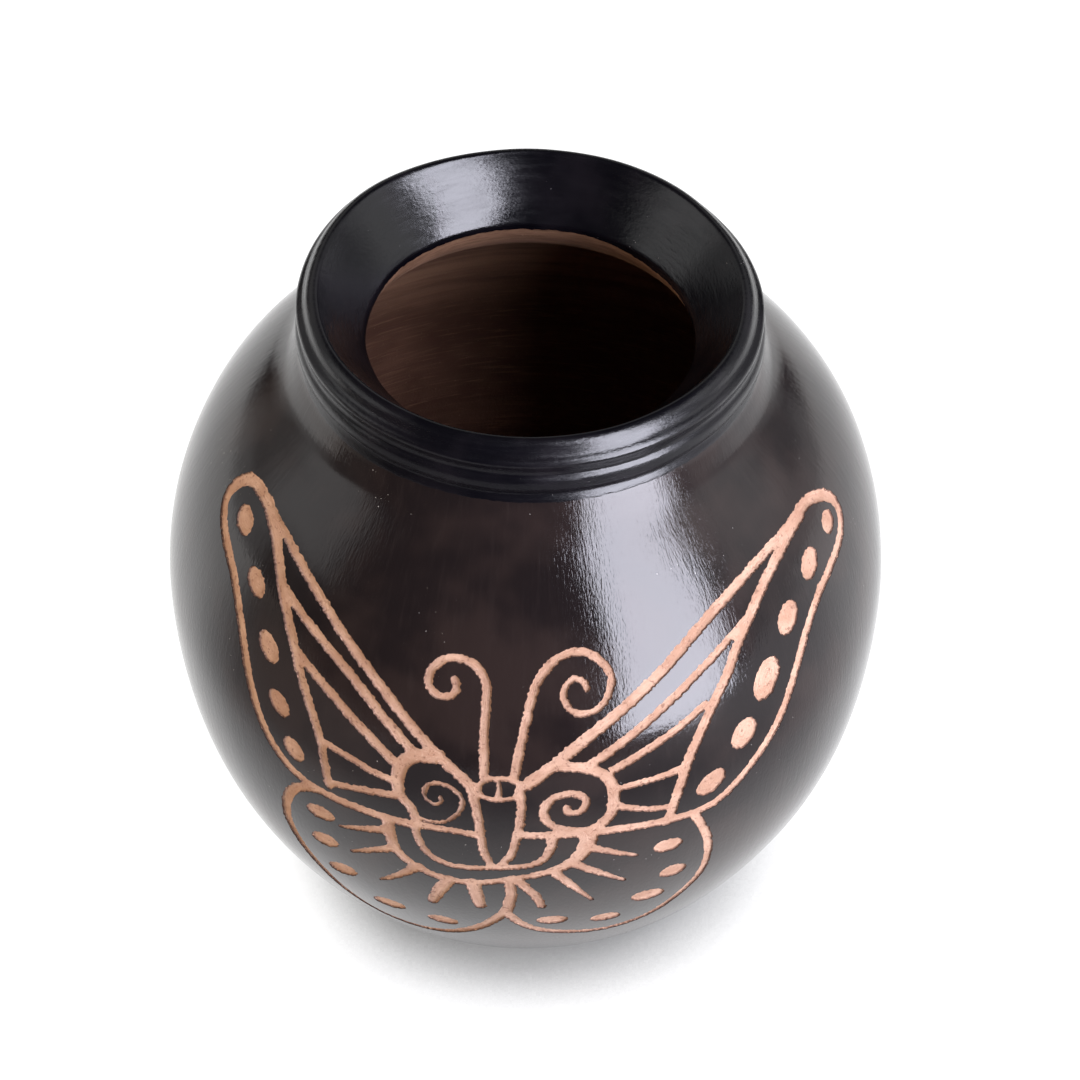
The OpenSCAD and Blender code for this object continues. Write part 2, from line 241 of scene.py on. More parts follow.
def inward(points, depth):
    """A curve moved square to itself, to its left, by depths in mm."""
    along = np.gradient(points, axis=0)
    along /= np.linalg.norm(along, axis=1, keepdims=True)
    side = np.stack([-along[:, 1], along[:, 0]], 1)
    return points + side * np.reshape(depth, (-1, 1))


# ---- The egg and the curve into the neck, by distance s along the outside ----


def egg(lat, inset=0.0):
    """Radius and height of the egg at latitudes in radians."""
    half = np.where(lat >= 0, DOME_RISE, BOWL_RISE) - inset
    return (BELLY_R - inset) * np.cos(lat), BELLY_Z + half * np.sin(lat)


def lat_at_z(z, inset=0.0):
    half = (DOME_RISE if z > BELLY_Z else BOWL_RISE) - inset
    return math.asin((z - BELLY_Z) / half)


JOIN_LAT = math.acos(JOIN_R / BELLY_R)


def outer_profile():
    """Fine points of the body's outside from the foot to the top of the body coat."""
    r, z = egg(np.linspace(lat_at_z(SLIP_START_Z), JOIN_LAT, EGG_POINTS))
    slope = DOME_RISE * math.cos(JOIN_LAT) / (BELLY_R * math.sin(JOIN_LAT))
    a = np.array([r[-1], z[-1]])
    c = np.array([NECK_R, NECK_BASE_Z])
    b = np.array([c[0], a[1] + (a[0] - c[0]) * slope])
    fillet = bend(a, b, c, FILLET_POINTS)[1:]
    top = np.linspace(c, (NECK_R, BODY_TOP_Z), 8)[1:]
    points = np.vstack([np.stack([r, z], 1), fillet, top])
    return points, run_along(points)


PROFILE, PROFILE_S = outer_profile()
_tangent = np.gradient(PROFILE, PROFILE_S, axis=0)
_tangent /= np.linalg.norm(_tangent, axis=1, keepdims=True)


def s_at_z(z):
    return float(np.interp(z, PROFILE[:, 1], PROFILE_S))


def on_body(az, s, depth=0.0):
    """Points depth mm under the body's plain outside. az is 0 at the front, -Y."""
    r = np.interp(s, PROFILE_S, PROFILE[:, 0])
    z = np.interp(s, PROFILE_S, PROFILE[:, 1])
    tr = np.interp(s, PROFILE_S, _tangent[:, 0])
    tz = np.interp(s, PROFILE_S, _tangent[:, 1])
    r, z = r - depth * tz, z + depth * tr
    return np.stack([r * np.sin(az), -r * np.cos(az), z], -1)


# ---- The unevenness of hand building ----


def ease(x, low, high):
    t = np.clip((x - low) / (high - low), 0, 1)
    return t * t * (3 - 2 * t)


def hump(x, centre, width):
    return np.exp(-(((x - centre) / width) ** 2))


def turn_gap(az, centre):
    """Difference of two angles, the short way round."""
    return np.angle(np.exp(1j * (az - centre)))


def waves(table, az, z):
    return sum(
        size * np.sin(turns * az + up * z / 20 + phase)
        for turns, up, size, phase in table
    )


def swell(table, z):
    return sum(size * hump(z, height, width) for size, height, width in table)


def hand(p):
    """The pot as the hand left it: not quite round, the neck a little to one side."""
    x, y, z = p[..., 0], p[..., 1], p[..., 2]
    az = np.arctan2(x, -y)
    r = np.hypot(x, y)
    neck = ease(z, *NECK_Z)
    rim = ease(z, *RIM_Z)
    body = ease(z, *BODY_Z) * (1 - neck)
    dr = body * (waves(BODY_WAVES, az, z) + swell(SWELLINGS, z))
    dr = dr + neck * (waves(NECK_WAVES, az, z) - NECK_SHRINK)
    dr = dr + rim * RIM_BULGE * hump(turn_gap(az, RIM_BULGE_AT), 0, 0.42)
    dr = dr + swell(TAPER, z) * ease(r, *TAPER_R)
    pressed = hump(turn_gap(az, COLLAR_DENT_AT), 0, 0.45)
    dr = dr - COLLAR_DENT * pressed * hump(z, 129.6, 2.1) * ease(r, 39, 40.5)
    funnel = ease(z, *FUNNEL_Z) * (1 - ease(r, 35.5, 38.5))
    dr = dr + FUNNEL_BULGE * funnel * hump(turn_gap(az, FUNNEL_BULGE_AT), 0, 0.35)
    k = 1 + dr / np.maximum(r, 20)
    lift = -NECK_TILT * neck * x / NECK_R + RIM_WAVE * rim * np.sin(3 * az + 0.6)
    return np.stack([x * k + NECK_SHIFT * neck, y * k, z + lift], -1)


def made_body(az, s, depth=0.0):
    return hand(on_body(az, s, depth))


def body_normals(az, s):
    e = 0.05  # mm to each side
    across = made_body(az + e / BELLY_R, s) - made_body(az - e / BELLY_R, s)
    low, high = np.maximum(s - e, 0), np.minimum(s + e, PROFILE_S[-1])
    up = made_body(az, high) - made_body(az, low)
    n = np.cross(across, up)
    return n / np.linalg.norm(n, axis=-1, keepdims=True)


# ---- The butterflies' outlines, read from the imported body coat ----


def mesh_arrays(node):
    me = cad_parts[node].data
    co = np.empty(len(me.vertices) * 3)
    me.vertices.foreach_get("co", co)
    me.calc_loop_triangles()
    tri = np.empty(len(me.loop_triangles) * 3, int)
    me.loop_triangles.foreach_get("vertices", tri)
    welded, at = np.unique(
        np.round(co.reshape(-1, 3) / MM, 3), axis=0, return_inverse=True
    )
    return welded, at.reshape(-1)[tri.reshape(-1, 3)]


def sides_of(tris):
    """All first sides of the triangles, then all second and all third ones."""
    return np.concatenate([tris[:, [0, 1]], tris[:, [1, 2]], tris[:, [2, 0]]])


def border(tris):
    """Edges that only one of the triangles has."""
    e, count = np.unique(np.sort(sides_of(tris), 1), axis=0, return_counts=True)
    return e[count == 1]


def chains(edges):
    """The closed loops of vertices that a set of edges makes."""
    near = {}
    for a, b in edges:
        near.setdefault(int(a), []).append(int(b))
        near.setdefault(int(b), []).append(int(a))
    seen, found = set(), []
    for start in sorted(near):
        if start in seen:
            continue
        loop, at = [start], start
        seen.add(start)
        while True:
            step = [k for k in near[at] if k not in seen]
            if not step:
                break
            at = step[0]
            seen.add(at)
            loop.append(at)
        found.append(loop)
    return found


def groove_outlines():
    """Loops of (azimuth, s) round every groove and every island of slip in one."""
    co, tris = mesh_arrays("body_slip")
    r = np.hypot(co[:, 0], co[:, 1])
    half = np.where(co[:, 2] > BELLY_Z, DOME_RISE, BOWL_RISE)
    scaled = np.sqrt((r / BELLY_R) ** 2 + ((co[:, 2] - BELLY_Z) / half) ** 2)
    face = (scaled - 1) * BELLY_R > -FACE_CLEAR
    tris = tris[face[tris].all(1)]
    loops = []
    top = BELLY_Z + DOME_RISE * math.sin(JOIN_LAT) - 1
    for loop in chains(border(tris)):
        p = co[loop]
        if len(loop) < 6 or p[:, 2].max() > top or p[:, 2].min() < SLIP_START_Z + 1:
            continue
        az = np.unwrap(np.arctan2(p[:, 0], -p[:, 1]))
        loops.append((az, np.interp(p[:, 2], PROFILE[:, 1], PROFILE_S)))
    return loops


def smooth_loop(xy, step):
    """A closed loop at an even spacing, a little rounded and a little jagged."""
    closed = np.vstack([xy, xy[:1]])
    run = run_along(closed)
    n = max(12, int(round(run[-1] / step)))
    p = at_runs(closed, run, np.linspace(0, run[-1], n, endpoint=False))
    for _ in range(2):
        p = 0.5 * p + 0.25 * (np.roll(p, 1, 0) + np.roll(p, -1, 0))
    wander = rng.normal(size=n)
    wander = wander + np.roll(wander, 1) + 0.5 * rng.normal(size=n)
    return p + sideways(p) * (JAGGED / 1.5 * wander)[:, None]


def inside_rows(loops, rows, xs):
    """For each row's height, which of the xs lie inside an odd number of loops."""
    a = np.vstack(loops)
    b = np.vstack([np.roll(p, -1, 0) for p in loops])
    result = []
    for y in rows:
        cross = (a[:, 1] > y) != (b[:, 1] > y)
        p, q = a[cross], b[cross]
        hit = np.sort(
            p[:, 0] + (y - p[:, 1]) / (q[:, 1] - p[:, 1]) * (q[:, 0] - p[:, 0])
        )
        result.append(np.searchsorted(hit, xs) % 2 == 1)
    return np.array(result)


def nearest(tree, points):
    """Index and distance of the tree's nearest point for each of the points."""
    found = [tree.find((p[0], p[1], 0)) for p in points]
    return np.array([f[1] for f in found], int), np.array([f[2] for f in found])


class Edges:
    """The points along every outline, to measure distances from."""

    def __init__(self, loops):
        self.at = np.vstack(loops)
        self.ahead = np.vstack([np.roll(p, -1, 0) for p in loops])
        self.behind = np.vstack([np.roll(p, 1, 0) for p in loops])
        self.tree = KDTree(len(self.at))
        for i, p in enumerate(self.at):
            self.tree.insert((p[0], p[1], 0), i)
        self.tree.balance()

    def far(self, points, limit):
        """Which points are at least limit away from every outline point."""
        return nearest(self.tree, points)[1] > limit

    def distance(self, points):
        """Distance from the nearest outline."""
        i, best = nearest(self.tree, points)
        for other in (self.ahead, self.behind):
            a, b = self.at[i], other[i]
            ab = b - a
            t = ((points - a) * ab).sum(1) / np.maximum((ab * ab).sum(1), 1e-9)
            foot = a + np.clip(t, 0, 1)[:, None] * ab
            best = np.minimum(best, np.hypot(*(points - foot).T))
        return best


def sideways(loop):
    """Unit vectors square to a closed loop, to its left."""
    along = np.roll(loop, -1, 0) - np.roll(loop, 1, 0)
    side = np.stack([-along[:, 1], along[:, 0]], 1)
    return side / np.maximum(np.linalg.norm(side, axis=1, keepdims=True), 1e-6)


def groove_side(loops, k):
    """1 if the groove lies to the left of loop k, -1 if to its right."""
    p = loops[k]
    q = np.roll(p, -1, 0)
    area = (p[:, 0] * q[:, 1] - q[:, 0] * p[:, 1]).sum()
    others = loops[:k] + loops[k + 1 :]
    nested = inside_rows(others, [p[0, 1]], np.array([p[0, 0]]))[0, 0]
    return (1 if area > 0 else -1) * (-1 if nested else 1)


# ---- The plain mesh's rows and columns ----


def stations():
    """The s of each row of the plain mesh. The joints of the clay are rows."""
    keys = [0, s_at_z(FOOT_Z), s_at_z(BELLY_Z), s_at_z(PROFILE[EGG_POINTS - 1, 1])]
    keys += [s_at_z(NECK_BASE_Z), PROFILE_S[-1]]
    rows = [np.array([0.0])]
    for a, b in zip(keys, keys[1:]):
        rows.append(np.linspace(a, b, max(1, round((b - a) / GRID)) + 1)[1:])
    return np.concatenate(rows), keys


ROWS, KEYS = stations()
S_FOOT, S_BELLY, S_JOIN = KEYS[1:4]
QUARTER_TURN = math.pi / 2


def crossings(tris, walls, start):
    """Which triangles lie an odd number of walls away from the one at start."""
    keys = np.sort(sides_of(tris), 1).reshape(3, -1, 2).swapaxes(0, 1)
    sides = [[tuple(side) for side in triangle] for triangle in keys.tolist()]
    beside = {}
    for k, triangle in enumerate(sides):
        for side in triangle:
            beside.setdefault(side, []).append(k)
    odd = np.full(len(tris), -1)
    odd[start] = 0
    todo = [start]
    while todo:
        k = todo.pop()
        for side in sides[k]:
            for other in beside[side]:
                if odd[other] < 0:
                    odd[other] = odd[k] ^ (side in walls)
                    todo.append(other)
    return odd == 1


def islands(tris):
    """For each triangle, the first triangle of the part that it is in, edge to edge."""
    edges = np.sort(sides_of(tris), 1)
    order = np.lexsort((edges[:, 1], edges[:, 0]))
    shared = (edges[order[1:]] == edges[order[:-1]]).all(1)
    owner = order % len(tris)
    a, b = owner[1:][shared], owner[:-1][shared]
    label = np.arange(len(tris))
    while True:
        new = label.copy()
        low = np.minimum(label[a], label[b])
        np.minimum.at(new, a, low)
        np.minimum.at(new, b, low)
        new = new[new]
        if (new == label).all():
            return label
        label = new


def without_crumbs(xy, tris, groove):
    """Takes the crumbs of slip, which a scraper would carry away, into the grooves."""
    plain = np.flatnonzero(~groove)
    a, b, c = (xy[tris[plain, k]] for k in range(3))
    (ux, uy), (vx, vy) = (b - a).T, (c - a).T
    part = islands(tris[plain])
    total = np.bincount(part, np.abs(ux * vy - uy * vx) / 2)
    groove = groove.copy()
    groove[plain[total[part] < CRUMB]] = True
    return groove


def half_skin(centre, outlines):
    """Triangulates half of the body's outside, flat: mm round the belly by mm of s.

    Returns azimuths, s, triangles, which triangles are groove, and how far each point
    is from the edge of its groove, 0 on the plain slip."""
    wide = BELLY_R * QUARTER_TURN
    loops = []
    for az, s in outlines:
        middle = float(turn_gap(az.mean(), centre))
        if abs(middle) < QUARTER_TURN:
            x = BELLY_R * (az - az.mean() + middle)
            loops.append(smooth_loop(np.stack([x, s], 1), OUTLINE_STEP))
    edges = Edges(loops)

    xs = np.linspace(-wide, wide, COLUMNS + 1)
    plain = np.stack(np.meshgrid(xs, ROWS), -1).reshape(-1, 2)
    plain = plain[~inside_rows(loops, ROWS, xs).reshape(-1)]
    plain = plain[edges.far(plain, PLAIN_CLEAR)]

    low, high = edges.at.min(0) - 1, edges.at.max(0) + 1
    fx = np.arange(low[0], high[0], GROOVE_GRID)
    fy = np.arange(low[1], high[1], GROOVE_GRID)
    fine = np.stack(np.meshgrid(fx, fy), -1)[inside_rows(loops, fy, fx)]
    fine = fine + rng.uniform(-GROOVE_JITTER, GROOVE_JITTER, fine.shape)
    off_seam = np.abs(fine[:, 1] - S_BELLY) > SEAM_CLEAR
    fine = fine[edges.far(fine, GROOVE_CLEAR) & off_seam]

    wall = [WALL_ROW * groove_side(loops, k) * sideways(p) for k, p in enumerate(loops)]
    wall = edges.at + np.vstack(wall)
    off_seam = np.abs(wall[:, 1] - S_BELLY) > WALL_SEAM_CLEAR
    wall = wall[(edges.distance(wall) > WALL_CLEAR) & off_seam]

    seam_x = np.arange(low[0], high[0], GROOVE_GRID)
    seam_x = seam_x[inside_rows(loops, [S_BELLY], seam_x)[0]]
    seam = np.stack([seam_x, np.full(len(seam_x), S_BELLY)], 1)
    on_seam = plain[:, 1] == S_BELLY
    seam = np.vstack([seam[edges.far(seam, SEAM_CLEAR)], plain[on_seam]])
    seam = seam[np.argsort(seam[:, 0])]

    points = np.vstack([edges.at, seam, plain[~on_seam], fine, wall])
    rims, start = [], 0
    for p in loops:
        n = len(p)
        rims += [(start + i, start + (i + 1) % n) for i in range(n)]
        start += n
    lines = [(start + i, start + i + 1) for i in range(len(seam) - 1)]
    out, sides, tris, _, sources, _ = geometry.delaunay_2d_cdt(
        [Vector(p) for p in points], rims + lines, [], 0, 1e-4, True
    )
    xy = np.array([tuple(v) for v in out])
    tris = np.array([tuple(t) for t in tris])
    walls = {
        (min(e), max(e))
        for e, ids in zip(sides, sources)
        if sum(i < len(rims) for i in ids) % 2
    }
    groove = crossings(tris, walls, int(np.argmin(xy[tris].sum((1, 2)))))
    groove = without_crumbs(xy, tris, groove)
    gap = np.zeros(len(xy))
    in_groove = np.unique(tris[groove])
    gap[in_groove] = edges.distance(xy[in_groove])
    gap[np.unique(tris[~groove])] = 0
    return centre + xy[:, 0] / BELLY_R, xy[:, 1], tris, groove, gap


def whole_skin():
    """Both halves, joined where they meet."""
    outlines = groove_outlines()
    parts = [half_skin(0.0, outlines), half_skin(math.pi, outlines)]
    shift = len(parts[0][0])
    az, s, gap = (np.concatenate([parts[0][k], parts[1][k]]) for k in (0, 1, 4))
    tris = np.vstack([parts[0][2], parts[1][2] + shift])
    groove = np.concatenate([parts[0][3], parts[1][3]])
    meeting = np.isclose(np.abs(np.cos(az)), 0, atol=1e-5)
    key = {}
    same = np.arange(len(az))
    for i in np.flatnonzero(meeting):
        same[i] = key.setdefault((math.sin(az[i]) > 0, round(float(s[i]), 3)), i)
    tris = same[tris]
    used, tris = np.unique(tris, return_inverse=True)
    return az[used], s[used], tris.reshape(-1, 3), groove, gap[used]


# ---- Meshes ----


def add_object(name, data):
    ob = bpy.data.objects.new(name, data)
    bpy.context.scene.collection.objects.link(ob)
    return ob


def make_mesh(name, points, faces, mats, slots=None, normals=None, gap=None):
    """An object from points in mm.

    normals has a vector for each corner of a face, or zeros to keep Blender's own."""
    me = bpy.data.meshes.new(name)
    me.from_pydata((np.asarray(points) * MM).tolist(), [], faces)
    for m in mats:
        me.materials.append(m)
    if slots is not None:
        me.polygons.foreach_set("material_index", np.asarray(slots, np.int32))
    me.polygons.foreach_set("use_smooth", np.ones(len(me.polygons), bool))
    me.update()
    if gap is not None:
        me.attributes.new("edge_gap", "FLOAT", "POINT").data.foreach_set(
            "value", np.asarray(gap, np.float32)
        )
    me.set_sharp_from_angle(angle=SHARP)
    if normals is not None:
        me.normals_split_custom_set(normals.tolist())
    me.validate()
    return add_object(name, me)


def strip(a, az_a, b, az_b):
    """Triangles between two rings of vertices, b above or inside a, by azimuth."""
    a = np.asarray(a)[np.argsort(az_a % math.tau)]
    b = np.asarray(b)[np.argsort(az_b % math.tau)]
    az_a, az_b = np.sort(az_a % math.tau), np.sort(az_b % math.tau)
    at_a = np.append(az_a, az_a[0] + math.tau)
    at_b = np.append(az_b, az_b[0] + math.tau)
    tris, i, j = [], 0, 0
    while i < len(a) or j < len(b):
        take_a = j == len(b) or (i < len(a) and at_a[i + 1] <= at_b[j + 1])
        ia, jb = a[i % len(a)], b[j % len(b)]
        if take_a:
            tris.append((ia, a[(i + 1) % len(a)], jb))
            i += 1
        else:
            tris.append((ia, b[(j + 1) % len(b)], jb))
            j += 1
    return tris


def lathe(outline, columns, start=0):
    """Points and quads of a surface of revolution, and each ring's vertices."""
    outline = np.asarray(outline)
    az = np.arange(columns) * math.tau / columns
    r, z = outline[:, :1], outline[:, 1:]
    pts = np.stack(
        [r * np.sin(az), -r * np.cos(az), np.broadcast_to(z, (len(z), columns))], -1
    )
    rings = start + np.arange(len(outline) * columns).reshape(len(outline), columns)
    a, b = rings[:-1], rings[1:]
    quads = np.stack([a, np.roll(a, -1, 1), np.roll(b, -1, 1), b], -1).reshape(-1, 4)
    return pts.reshape(-1, 3), quads, rings, az


def closed_lathe(outline, columns):
    """Points, faces and rings of a surface of revolution with a closed outline."""
    points, quads, rings, _ = lathe(outline, columns)
    last, first = rings[-1], rings[0]
    close = np.stack([last, np.roll(last, -1), np.roll(first, -1), first], -1)
    return points, quads.tolist() + close.tolist(), rings


# ---- The body ----


def coat_depth(s):
    """Thickness of the body coat: the CAD's at the foot slab and round the neck."""
    full = 1 - ease(s, S_FOOT, S_FOOT + 4) + ease(s, S_JOIN - 4, S_JOIN)
    return COAT_T + (CAD_COAT_T - COAT_T) * full


def ring_on(tris, s, at):
    """The vertices on the triangles' border that lie at one s."""
    edge = border(tris)
    return np.unique(edge[(np.abs(s[edge] - at) < 1e-3).all(1)])


def compact(points, faces, *others):
    """Drops the points that no face uses, and their values in others."""
    used = np.unique(np.concatenate([np.asarray(f).reshape(-1) for f in faces]))
    new = np.zeros(len(points), int)
    new[used] = np.arange(len(used))
    return points[used], [new[np.asarray(f)] for f in faces], [o[used] for o in others]


def body_coat(skin):
    az, s, tris, groove, _ = skin
    plain = tris[~groove]
    n = len(az)
    top = made_body(az, s)
    under = made_body(az, s, coat_depth(s))
    sides = {(int(a), int(b)) for a, b in sides_of(plain)}
    walls = sorted((b, a, a + n, b + n) for a, b in sides if (b, a) not in sides)
    normals = body_normals(az, s)
    points = np.vstack([top, under])
    normals = np.vstack([normals, normals])
    groups = [plain, plain[:, ::-1] + n, np.array(walls)]
    points, groups, (normals,) = compact(points, groups, normals)
    faces = [f.tolist() for f in groups]
    outer = normals[groups[0].reshape(-1)]
    rest = np.zeros((groups[1].size + groups[2].size, 3))
    return make_mesh(
        "body_coat",
        points,
        faces[0] + faces[1] + faces[2],
        [slip_material()],
        normals=np.vstack([outer, rest]),
    )


def carve(s, gap):
    """How deep the clay's surface lies under the coat's outside."""
    t = np.clip(gap / GROOVE_WALL, 0, 1)
    return coat_depth(s) + GROOVE_DEEP * (1 - (1 - t) ** 2)


def clay_bowl(name, skin, low, high, inner_curve, above=None):
    """The pot's wall between two s of its outside, and above it under the neck."""
    az, s, tris, _, gap = skin
    middle = s[tris].mean(1)
    outer = tris[(middle > low) & (middle < high)]
    points = made_body(az, s, carve(s, gap))
    bottom, top = ring_on(outer, s, low), ring_on(outer, s, high)
    inner, quads, rings, ring_az = lathe(inner_curve, RING_COLUMNS, len(points))
    points = np.vstack([points, hand(inner)])
    inside = quads[:, ::-1]
    joints = [t[::-1] for t in strip(bottom, az[bottom], rings[0], ring_az)]
    over = np.zeros((0, 4), int)
    if above is None:
        joints += strip(top, az[top], rings[-1], ring_az)
    else:
        more, over, more_rings, _ = lathe(above, RING_COLUMNS, len(points))
        points = np.vstack([points, hand(more)])
        joints += strip(top, az[top], more_rings[0], ring_az)
        joints += strip(more_rings[-1], ring_az, rings[-1], ring_az)
    unscraped = np.full(len(points) - len(gap), FAR_FROM_EDGE)
    gap = np.concatenate([gap, unscraped])
    groups = [outer, over, np.array(joints), inside]
    points, groups, (gap,) = compact(points, groups, gap)
    slots = np.repeat([0, 0, 1, 1], [len(g) for g in groups])
    faces = [f for g in groups for f in g.tolist()]
    return make_mesh(
        name, points, faces, [SCRAPED_CLAY, WIPED_CLAY], slots=slots, gap=gap
    )


def inner_egg(z_low, z_high):
    a, b = lat_at_z(z_low, INNER), lat_at_z(z_high, INNER)
    n = int(INNER_ROWS * (b - a))
    return np.stack(egg(np.linspace(a, b, n + 1), INNER), 1)


def inner_dome():
    """The inside above the belly, which turns up into the throat in one curve."""
    egg_part = inner_egg(BELLY_Z, INNER_EGG_TOP_Z)
    mouth = (CLAY_MOUTH_R, THROAT_Z - CLAY_OVERLAP)
    return np.vstack([egg_part[:-1], bend(egg_part[-1], INNER_KNEE, mouth, 26)])


def dome_top():
    """The top of the bowls' outside, under the neck, up to the mouth."""
    mouth = math.acos((CLAY_MOUTH_R + CLAY_OVERLAP) / (BELLY_R - CAD_COAT_T))
    return np.stack(egg(np.linspace(JOIN_LAT, mouth, 14), CAD_COAT_T), 1)


# ---- The neck, collar and lip ----


def neck_profile():
    """The neck coat's outside, from its lower edge over the lip into the throat."""
    half = (COLLAR[1] - COLLAR[0]) / 2
    t = np.linspace(-1, 1, 40)
    face = NECK_R + COLLAR_BULGE * (1 - np.abs(t) ** 4)
    collar = np.stack([face, COLLAR[0] + half * (1 + t)], 1)
    lip = through(LIP, 8)
    top = lip[-1]
    fall = (top[0] - THROAT_R) * FUNNEL_SLOPE
    funnel = bend(top, (THROAT_R, top[1] - fall), (THROAT_R, THROAT_Z), 50)
    low = [(NECK_R + COAT_LAP, LAP_Z), (NECK_R + COAT_LAP, BODY_TOP_Z)]
    parts = [low, collar, lip, funnel, [(THROAT_R, COAT_END_Z)]]
    return soften(resample(np.vstack(parts), NECK_STEP), 5)


def neck_coat_depth(outside):
    """Thickness of the neck coat: the CAD's, but thin in the throat."""
    r, z = outside.T
    thin = COAT_T + (CAD_COAT_T - COAT_T) * ease(z, THROAT_Z, COAT_THIN_Z)
    return np.where(r < SEAT_R, thin, CAD_COAT_T)


NECK_OUT = neck_profile()
NECK_IN = inward(NECK_OUT, neck_coat_depth(NECK_OUT))
SEAT = int(np.argmax(NECK_OUT[:, 0] < SEAT_R))


def level(z):
    """Index of the first point of the neck's outside at or above a height."""
    return int(np.argmax(NECK_OUT[:, 1] >= z))


def ragged(az, table, seed):
    """How far a hand-painted edge strays up and down, in mm."""
    local = np.random.default_rng(seed)
    z = sum(size * np.sin(turns * az + phase) for turns, size, phase in table)
    for turns in range(30, 160, 7):
        size = BRUSH_HAIRS / math.sqrt(turns / 30)
        z = z + size * np.sin(turns * az + local.uniform(0, 6.3))
    return z


def neck_coat():
    az = np.arange(NECK_COLUMNS) * math.tau / NECK_COLUMNS
    foot = ragged(az, LOWER_EDGE, 3)
    end = ragged(az, THROAT_EDGE, 4)
    lap = [(CLAY_R, BODY_TOP_Z), (NECK_R, BODY_TOP_Z), (NECK_R, LAP_Z)]
    inner = np.vstack([NECK_IN[: level(COLLAR[0]) : -3], lap])
    pts, faces, rings = closed_lathe(np.vstack([NECK_OUT, inner]), NECK_COLUMNS)
    z = pts[:, 2].reshape(rings.shape)
    r = np.hypot(pts[:, 0], pts[:, 1]).reshape(rings.shape)
    on_lap = (r > NECK_R - 0.01) & (z < BODY_TOP_Z + 0.01)
    low_end = ease(BODY_TOP_Z - z, 0, BODY_TOP_Z - LAP_Z) * on_lap
    throat = ease(THROAT_Z - z, 0, THROAT_Z - COAT_END_Z) * (r < SEAT_R)
    z = z + low_end * foot + throat * end
    outside = on_lap & (np.arange(len(rings)) < len(NECK_OUT))[:, None]
    thick = COAT_LAP * ease(z - LAP_Z - foot, -0.1, 0.5) * outside
    new_r = np.interp(z, PROFILE[:, 1], PROFILE[:, 0]) + thick
    scale = np.where(on_lap, new_r / r, 1).reshape(-1)
    pts = np.stack([pts[:, 0] * scale, pts[:, 1] * scale, z.reshape(-1)], 1)
    return make_mesh("neck_coat", hand(pts), faces, [neck_material()])


def clay_ring(name, outline):
    """A ring of clay under the coats, uneven in the same way as they are."""
    pts, faces, _ = closed_lathe(outline, RING_COLUMNS)
    return make_mesh(name, hand(pts), faces, [BARE_CLAY])


def neck_clay():
    s = np.linspace(S_JOIN, s_at_z(NECK_BASE_Z), 12)
    fillet = on_body(np.zeros(len(s)), s, CAD_COAT_T)
    fillet = np.stack([-fillet[:, 1], fillet[:, 2]], 1)
    in_throat = (NECK_IN[:, 0] < SEAT_R) & (NECK_IN[:, 1] <= NECK_CLAY_END_Z)
    outline = [
        fillet,
        NECK_IN[level(BODY_TOP_Z) : level(COLLAR[0])],
        [(CLAY_R, COLLAR[0]), (REBATE_R, COLLAR[0]), (REBATE_R, COLLAR[1])],
        NECK_IN[level(COLLAR[1]) : level(LIP_Z) + 1],
        NECK_IN[SEAT : np.argmax(in_throat)],
        dome_top()[::-1],
    ]
    return clay_ring("neck_clay", np.vstack([p for p in outline if len(p)]))


def collar_clay():
    face = NECK_IN[level(COLLAR[0]) : level(COLLAR[1])]
    back = [(REBATE_R, COLLAR[1]), (REBATE_R, COLLAR[0])]
    return clay_ring("collar_clay", np.vstack([face, back]))


def lip_clay():
    return clay_ring("lip_clay", NECK_IN[level(LIP_Z) : SEAT + 1])


# ---- Materials ----


